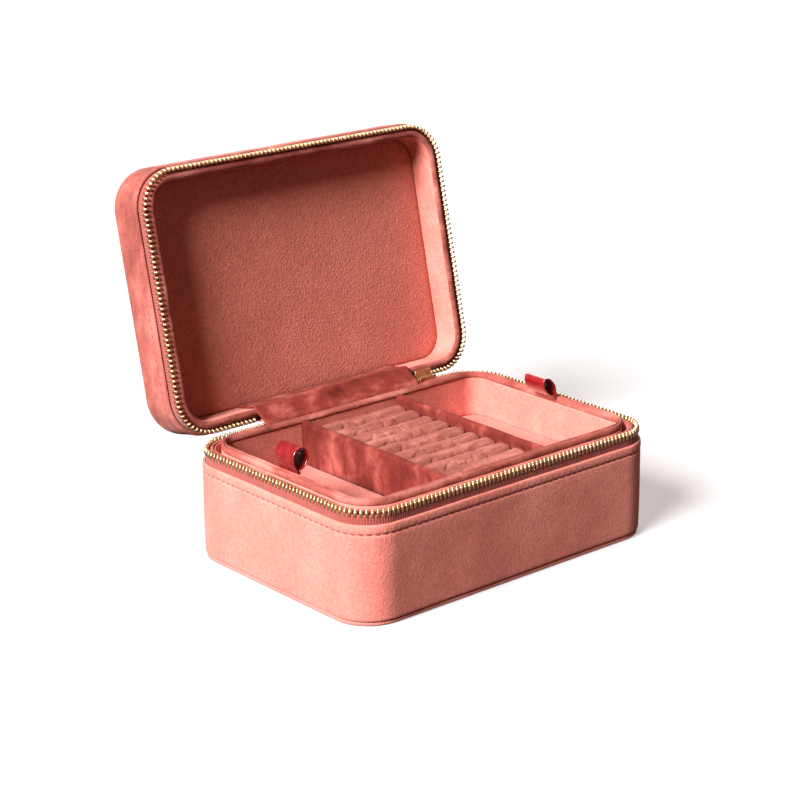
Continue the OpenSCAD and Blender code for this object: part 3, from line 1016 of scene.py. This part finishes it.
def build_hinge():
    inner = [
        (47.5, 26), (47.5, 34), (47.5, 41.5), (47.62, 43.6), (48.3, 44.95), (50.0, 46.1), (52.4, 47.6),
        (54.5, 49.1), (55.8, 49.95), (57.0, 49.75), (59.5, 48.85), (63.5, 47.9), (67.5, 47.05),
    ]
    strip, length = build_strip(
        "hinge_strip_velvet", inner, STRIP_HALF, 0.6, HINGE_CLOTH,
        ["hinge_strip_lower", "hinge_strip_upper"], 81, 0.35, 0.12,
    )
    outer = [
        (51.85, 37.6), (51.85, 40), (51.85, 42.2), (52.02, 43.3), (52.55, 43.95), (53.4, 44.02),
        (55.2, 43.72), (57.2, 43.28), (59.4, 42.8), (60.4, 42.58),
    ]
    spine, length = build_strip(
        "spine_velvet", outer, SPINE_HALF, 1.0, OUTER,
        ["spine_lower_flap", "spine_upper_flap"], 87, 0.1,
    )


# ---------------------------------------------------------------- well under the tray


def build_well():
    wall = [
        (3.8, 4.5), (3.8, 23.6), (4.1, 24.2), (4.8, 24.35), (6.4, 24.35), (7.2, 24.25), (7.65, 23.9),
        (7.8, 23.2), (7.8, 14), (7.8, 4.5),
    ]
    loft(
        "well_walls", sections_of(wall), LINING, "base", ["well_liner"], step=1.6,
        shape=rippled(0.08, 12, 91),
    )
    pad = [
        (51, 3.25), (20, 3.25), (7.9, 3.25), (7.9, 3.6), (8.1, 3.9), (8.8, 4.15), (10.5, 4.3), (14, 4.38),
        (20, 4.4), (30, 4.4), (40, 4.4), (51, 4.4),
    ]
    floor = loft(
        "well_floor_suede", sections_of(pad), SUEDE, "base", ["well_floor_pad"], closed=False,
        caps=True, step=1.6,
    )


# ---------------------------------------------------------------- tray


def tray_section(inset, r, z):
    return (HALF_X - inset, HALF_Y - inset, r, z)


def build_tray():
    # inset, corner radius and height
    rim = [
        (5.75, 15, 43.35), (5.58, 15, 43.8), (5.55, 15, 44.5), (5.72, 14.8, 45.15), (6.1, 14.2, 45.6),
        (6.55, 13.5, 45.78), (7.0, 12.6, 45.66), (7.3, 12.0, 45.2), (7.45, 11.7, 45.2), (7.75, 11.1, 45.7),
        (8.2, 9.9, 45.86), (8.7, 8.2, 45.6), (9.15, 6.9, 45.15), (9.38, 6.2, 44.6), (9.42, 6, 44.05),
        (9.3, 6, 43.6), (9.0, 6, 43.35),
    ]

    def rim_shape(p, s, normal):
        """Soft noise, a seam across the rim at the back, and a dip under the cloth hinge."""
        p = pushed(p, normal, 0.07 * wave_noise(p, 6, 101))
        p[..., 2] += 0.10 * wave_noise(p, 8, 103) * (p[..., 2] > 44)
        joint = hump(p[..., 0], 2.2, 0.45) * (p[..., 1] > 0)
        p[..., 2] -= 0.45 * joint * (p[..., 2] > 44)
        under_strip = np.clip((STRIP_HALF + 2.5 - np.abs(p[..., 0])) / 1.5, 0, 1) * (p[..., 1] > 40)
        p[..., 2] -= 0.75 * under_strip * np.clip((p[..., 2] - 43.35) / 2.5, 0, 1)
        return p

    loft(
        "tray_rim_velvet", [tray_section(*at) for at in rim], RIM, "tray", ["tray_rim"],
        step=0.7, shape=rim_shape,
    )
    walls = [tray_section(5.62, 15, z) for z in (26.0, 30, 36, 43.3)] + [tray_section(8.95, 6, 43.3)]
    walls += [tray_section(8.93, 6, z) for z in (42.6, 40, 36, 32, 28, 26.0)]

    def wall_shape(p, s, normal):
        inner = (np.arange(len(p)) > 4)[:, None]
        return pushed(p, normal, -0.054 * inner * (1 + wave_noise(p, 11, 107)))

    loft("tray_walls_velvet", walls, LINING, "tray", ["tray_frame"], shape=wall_shape)
    for side, name in ((-1, "left"), (1, "right")):
        build_tray_pad(side, "tray_" + name + "_lining", "tray_" + name + "_pad")
        build_divider("divider_" + name + "_velvet", "divider_" + name, 111 + 7 * side)
    for n in range(1, 11):
        build_roll(n)


def build_tray_pad(side, name, node):
    """Floor lining of an end compartment, swollen a little between its edges, with round corners at its outer
    end."""
    lo, hi = (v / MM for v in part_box(node))
    x0, x1, y0, y1 = lo.x - 0.55, hi.x + 0.55, lo.y - 0.45, hi.y + 0.45
    nx, ny = 44, 90
    corner_r = 5.8
    gx, gy = np.meshgrid(np.linspace(-1, 1, nx), np.linspace(-1, 1, ny), indexing="ij")
    px = (x0 + x1) / 2 + gx * (x1 - x0) / 2
    py = (y0 + y1) / 2 + gy * (y1 - y0) / 2
    dx = np.maximum(side * px - ((x1 if side > 0 else -x0) - corner_r), 0)
    dy = np.maximum(np.abs(py) - (y1 - corner_r), 0)
    draw = 1 - np.maximum(dx, dy) / np.maximum(np.hypot(dx, dy), 1e-6)
    draw = np.where((dx > 0) & (dy > 0), draw, 0)
    px = px - side * dx * draw
    py = py - np.sign(py) * dy * draw
    edge = np.minimum((1 - np.abs(gx)) * (x1 - x0) / 2, (1 - np.abs(gy)) * (y1 - y0) / 2)
    top = np.stack([px, py, 26.45 + 0.5 * (1 - np.exp(-edge / 1.1))], 2)
    top[..., 2] += 0.12 * rough_noise(top, 14, 121) * (1 - np.exp(-edge / 3))
    under = np.stack([px, py, np.full_like(px, 25.92)], 2)
    verts = np.concatenate([top.reshape(-1, 3), under.reshape(-1, 3)])
    pad = make(name, verts, flipped(slab_faces(nx, ny)), LINING, "tray", [node])


def build_divider(name, node, seed):
    """Crushed velvet pulled over a board, full and soft at the top."""
    lo, hi = (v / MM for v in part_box(node))
    mid = (lo.x + hi.x) / 2
    section = [
        (1.0, 26.0), (1.15, 28), (1.2, 31), (1.22, 34), (1.24, 37), (1.32, 40), (1.5, 42), (1.55, 42.9),
        (1.45, 43.5), (1.2, 44.0), (0.75, 44.35), (0.25, 44.5),
    ]
    section = section + [(-a, z) for a, z in reversed(section)]
    across, height = np.array(section).T
    ys = np.linspace(lo.y - 0.35, hi.y + 0.35, 120)
    p = np.stack(np.broadcast_arrays(mid + across, ys[:, None], height), 2)
    top = np.clip((height - 40) / 4, 0, 1)
    fold = rough_noise(p * [1, 1, 0.55], 8, seed)
    p[..., 0] += np.sign(across) * 0.30 * fold * (1 - 0.5 * top)
    p[..., 0] += 0.45 * top * wave_noise(p * [0, 1, 0], 13, seed + 1)
    p[..., 2] += 0.40 * top * (wave_noise(p * [0, 1, 0], 10, seed + 2) - 0.4)
    faces = tube_faces(len(ys), len(section))
    make(name, p.reshape(-1, 3), faces, CRUSHED, "tray", [node])


def roll_points(half_x, half_y, low, top):
    """Rings of points round one roll that lies along X: flat sides, a round top and soft ends."""
    us = np.linspace(-1, 1, 64)
    us = np.sign(us) * (1 - (1 - np.abs(us)) ** 1.35)
    turns = angles(28)
    end_length = 2.6
    middle = top - half_y
    p = np.zeros((len(us), len(turns), 3))
    for i, u in enumerate(us):
        end = max(0.0, 1 - (half_x - abs(u) * half_x) / end_length)
        full = 0.30 + 0.70 * math.sqrt(max(0.0, 1 - end**2))
        for j, turn in enumerate(turns):
            ca, sa = math.cos(turn), math.sin(turn)
            across = half_y * math.copysign(abs(ca) ** 0.7, ca) * (0.92 + 0.08 * full)
            if sa >= 0:
                z = middle + half_y * sa**0.8 - (1 - full) * end_length * sa
            else:
                z = middle - (middle - low) * abs(sa) ** 0.45
            p[i, j] = (u * half_x, across, z)
    return p


def mesh_points(mesh):
    co = np.zeros(len(mesh.vertices) * 3)
    mesh.vertices.foreach_get("co", co)
    return co.reshape(-1, 3)


def evaluated_mesh(obj):
    return bpy.data.meshes.new_from_object(obj.evaluated_get(bpy.context.evaluated_depsgraph_get()))


def swollen_roll(half_x, half_y, low, top):
    """One ring roll's velvet, blown up round its foam by a cloth simulation at ten times its size. The lower
    part is held, as it is glued to the bed. Gives points in mm and faces."""
    scene = bpy.context.scene
    scale = 10 * MM
    last_frame = 20
    largest_move = 0.9
    p = roll_points(half_x - 0.1, half_y - 0.2, low, top - 0.2)
    mesh = bpy.data.meshes.new("roll_cloth")
    mesh.from_pydata((p.reshape(-1, 3) * scale).tolist(), [], tube_faces(p.shape[0], p.shape[1]))
    obj = add_object("roll_cloth", mesh)
    remesh = obj.modifiers.new("remesh", "REMESH")
    remesh.mode = "VOXEL"
    remesh.voxel_size = 0.006
    obj.data = evaluated_mesh(obj)
    obj.modifiers.clear()
    start = mesh_points(obj.data)
    faces = [tuple(f.vertices) for f in obj.data.polygons]
    moved = start
    held = obj.vertex_groups.new(name="held")
    for i, z in enumerate(start[:, 2] / scale):
        weight = min(1.0, max(0.0, (top - 1.6 * half_y - z) / 2))
        if weight > 0:
            held.add([i], weight, "REPLACE")
    cloth = obj.modifiers.new("cloth", "CLOTH")
    cloth.settings.quality = 5
    cloth.settings.mass = 0.3
    cloth.settings.use_pressure = True
    cloth.settings.uniform_pressure_force = 4
    cloth.settings.shrink_min = -0.02
    cloth.settings.effector_weights.gravity = 0
    cloth.settings.vertex_group_mass = "held"
    cloth.point_cache.frame_start = 1
    cloth.point_cache.frame_end = last_frame
    for number in range(1, last_frame + 1):
        scene.frame_set(number)
    step = mesh_points(evaluated_mesh(obj)) - start
    length = np.linalg.norm(step, axis=1, keepdims=True)
    moved = start + step * np.minimum(1, largest_move * scale / np.maximum(length, 1e-9))
    scene.frame_set(1)
    bpy.data.objects.remove(obj)
    return moved / scale, faces


# points and faces of the simulated roll, filled by the first call of build_roll
ROLL_SHAPE = []


def build_roll(n):
    """A velvet-wrapped foam roll, creased and pressed by its neighbours in its own way."""
    node = f"ring_roll_{n}"
    lo, hi = (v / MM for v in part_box(node))
    half_x, half_y = (hi.x - lo.x) / 2, (hi.y - lo.y) / 2
    y, top, low = (lo.y + hi.y) / 2, hi.z, lo.z
    if not ROLL_SHAPE:
        ROLL_SHAPE.extend(swollen_roll(half_x, half_y, low, top))
    points, faces = ROLL_SHAPE
    side = -1 if n % 2 else 1
    p = points * [side, 1, 1] + [0, y, 0]
    if side < 0:
        faces = flipped(faces)
    crease = rough_noise(p * [0.45, 1, 1], 5.5, 131 + n)
    swell = wave_noise(p * [1, 0, 0], 11, 151 + n)
    upper = np.clip((p[..., 2] - (top - 6)) / 4, 0, 1)
    p[..., 2] += upper * (0.30 * crease + 0.40 * swell - 0.15)
    p[..., 1] += upper * 0.35 * wave_noise(p * [1, 0, 0], 9, 171 + n)
    p[..., 1] = np.clip(p[..., 1], y - half_y - 0.25, y + half_y + 0.25)
    roll = make(f"ring_roll_velvet_{n}", p, faces, ROLLS, "tray", [node])


# ---------------------------------------------------------------- leather tabs


def build_tab(side, name, node, body):
    """A strap folded into a loop, pinched where its two ends go down behind the rim."""
    x = 64.5
    base_x, base_z = TAB_ROOT_X, RIM_SEAM_Z + 0.05
    tall, wide, lean = (1.07, 1.25, 0.0) if side < 0 else (1.0, 1.05, 4.2)
    line = [
        (base_x + 0.42, base_z), (base_x + 0.5, base_z + 1.1), (x + 2.2, base_z + 3.2),
        (x + 2.62, base_z + 5.2), (x + 2.1, base_z + 7.4), (x + 0.9, base_z + 8.75), (x - 0.5, base_z + 8.95),
        (x - 1.8, base_z + 8.1), (x - 2.6, base_z + 6.2), (x - 2.55, base_z + 4.2), (x - 1.5, base_z + 2.2),
        (base_x - 0.5, base_z + 0.95), (base_x - 0.42, base_z),
    ]
    line = [
        (x + (px - x) * wide - lean * (pz - base_z) / 9, base_z + (pz - base_z) * tall) for px, pz in line
    ]
    line[0], line[-1] = (base_x + 0.34, base_z), (base_x - 0.34, base_z)
    path, _ = smooth_path(line, 0.28)
    tangent = np.gradient(path, axis=0)
    tangent /= np.linalg.norm(tangent, axis=1)[:, None]
    normal = np.stack([tangent[:, 1], -tangent[:, 0]], 1)
    half_thick = 0.32
    half = TAB_WIDTH / 2
    # place across the strap, and how thick it is there
    left = [(-half, 0.62), (-half + 0.08, 0.9), (-half + 0.3, 1.0)]
    edge = left + [
        (v, 1.0) for v in np.linspace(-half + 1.2, half - 1.2, 14)
    ] + [(-v, f) for v, f in reversed(left)]
    rows = []
    for v, f in edge + [(v, -f) for v, f in reversed(edge)]:
        pts = path + normal * half_thick * f
        rows.append(np.stack([side * pts[:, 0], np.full(len(pts), v), pts[:, 1]], 1))
    p = np.stack(rows, 1)
    p[..., 1] += 0.08 * wave_noise(p, 5, 181)
    faces = tube_faces(p.shape[0], p.shape[1])
    if side < 0:
        faces = flipped(faces)
    make(name, p.reshape(-1, 3), faces, LEATHER, body, [node])


def build_tab_roots():
    """The strap's two ends, which go into the seam between the tray's rim and its wall."""
    for side, word in ((-1, "left"), (1, "right")):
        bm = bmesh.new()
        rounded_block(bm, (-0.62, -TAB_WIDTH / 2, -2.1), (0.62, TAB_WIDTH / 2, 0.12), 0.2)
        for v in bm.verts:
            v.co = Vector((side * (TAB_ROOT_X - v.co.z * 0.62 + v.co.x), v.co.y, RIM_SEAM_Z + v.co.z))
        from_bmesh(bm, f"tab_root_{word}_leather", LEATHER, "tray", [f"tab_root_{word}"])


# ---------------------------------------------------------------- build it all

build_base_cover()
build_lid_cover()
build_bottom()
build_zip()
build_slider()
build_pull()
build_edges()
build_lid_panel()
build_hinge()
build_well()
build_tray()
build_tab(-1, "tab_left_leather", "tab_loop_left", "tab_left")
build_tab(1, "tab_right_leather", "tab_loop_right", "tab_right")
build_tab_roots()

for node, material in (
    ("base_shell", BOARD),
    ("lid_shell", BOARD),
    ("tray_floor", BOARD),
    ("lid_top_foam", FOAM),
    ("lid_panel_foam", FOAM),
    ("ring_bed", FOAM),
):
    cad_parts[node].data.materials.clear()
    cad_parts[node].data.materials.append(material)


# ---------------------------------------------------------------- studio


def build_studio():
    """A white floor, a soft sun from the left, a weaker one from behind and a faint even light. Camera rays
    see the floor and the sky as white, and other rays see them dim, so that shaded cloth stays deep."""
    m = Nodes("studio_floor")
    spots = m.noise(m.place(), 6, 2)
    seen = m.add("LightPath").outputs["Is Camera Ray"]
    m.set(
        Base_Color=m.mix(
            seen, (0.07, 0.065, 0.062), m.mix(spots, (0.35, 0.34, 0.338), (0.365, 0.355, 0.353)),
        ),
        Emission_Color=m.mix(seen, (0, 0, 0), (1.0, 0.95, 0.94)),
        Emission_Strength=0.36,
        Roughness=0.9,
        Specular_IOR_Level=0.0,
    )
    mesh = bpy.data.meshes.new("studio_floor")
    reach = 6
    corners = [(-reach, -reach, 0), (reach, -reach, 0), (reach, reach, 0), (-reach, reach, 0)]
    mesh.from_pydata(corners, [], [(0, 1, 2, 3)])
    mesh.materials.append(m.material)
    add_object("studio_floor", mesh)

    def sun(name, direction, angle, strength, colour=(1, 1, 1)):
        data = bpy.data.lights.new(name, "SUN")
        data.angle = angle
        data.energy = strength
        data.color = colour
        light = add_object(name, data)
        light.rotation_mode = "QUATERNION"
        light.rotation_quaternion = Vector(direction).to_track_quat("Z", "Y")

    sun("key", (-0.80, -0.12, 0.58), 0.48, 10.6, (0.98, 1.0, 1.03))
    sun("back", (0.55, 0.75, 0.45), 1.2, 2.8)
    world = bpy.data.worlds.new("world")
    world.use_nodes = True
    tree = world.node_tree
    path = tree.nodes.new("ShaderNodeLightPath")
    strength = tree.nodes.new("ShaderNodeMapRange")
    strength.inputs["To Min"].default_value = 0.19
    strength.inputs["To Max"].default_value = 1.05
    tree.links.new(path.outputs["Is Camera Ray"], strength.inputs["Value"])
    background = tree.nodes["Background"]
    tint = tree.nodes.new("ShaderNodeMix")
    tint.data_type = "RGBA"
    tint.inputs[6].default_value = (1.0, 0.66, 0.52, 1)
    tint.inputs[7].default_value = (1, 1, 1, 1)
    tree.links.new(path.outputs["Is Camera Ray"], tint.inputs[0])
    tree.links.new(tint.outputs[2], background.inputs[0])
    tree.links.new(strength.outputs[0], background.inputs[1])
    bpy.context.scene.world = world
    bpy.context.scene.view_settings.view_transform = "Standard"


build_studio()
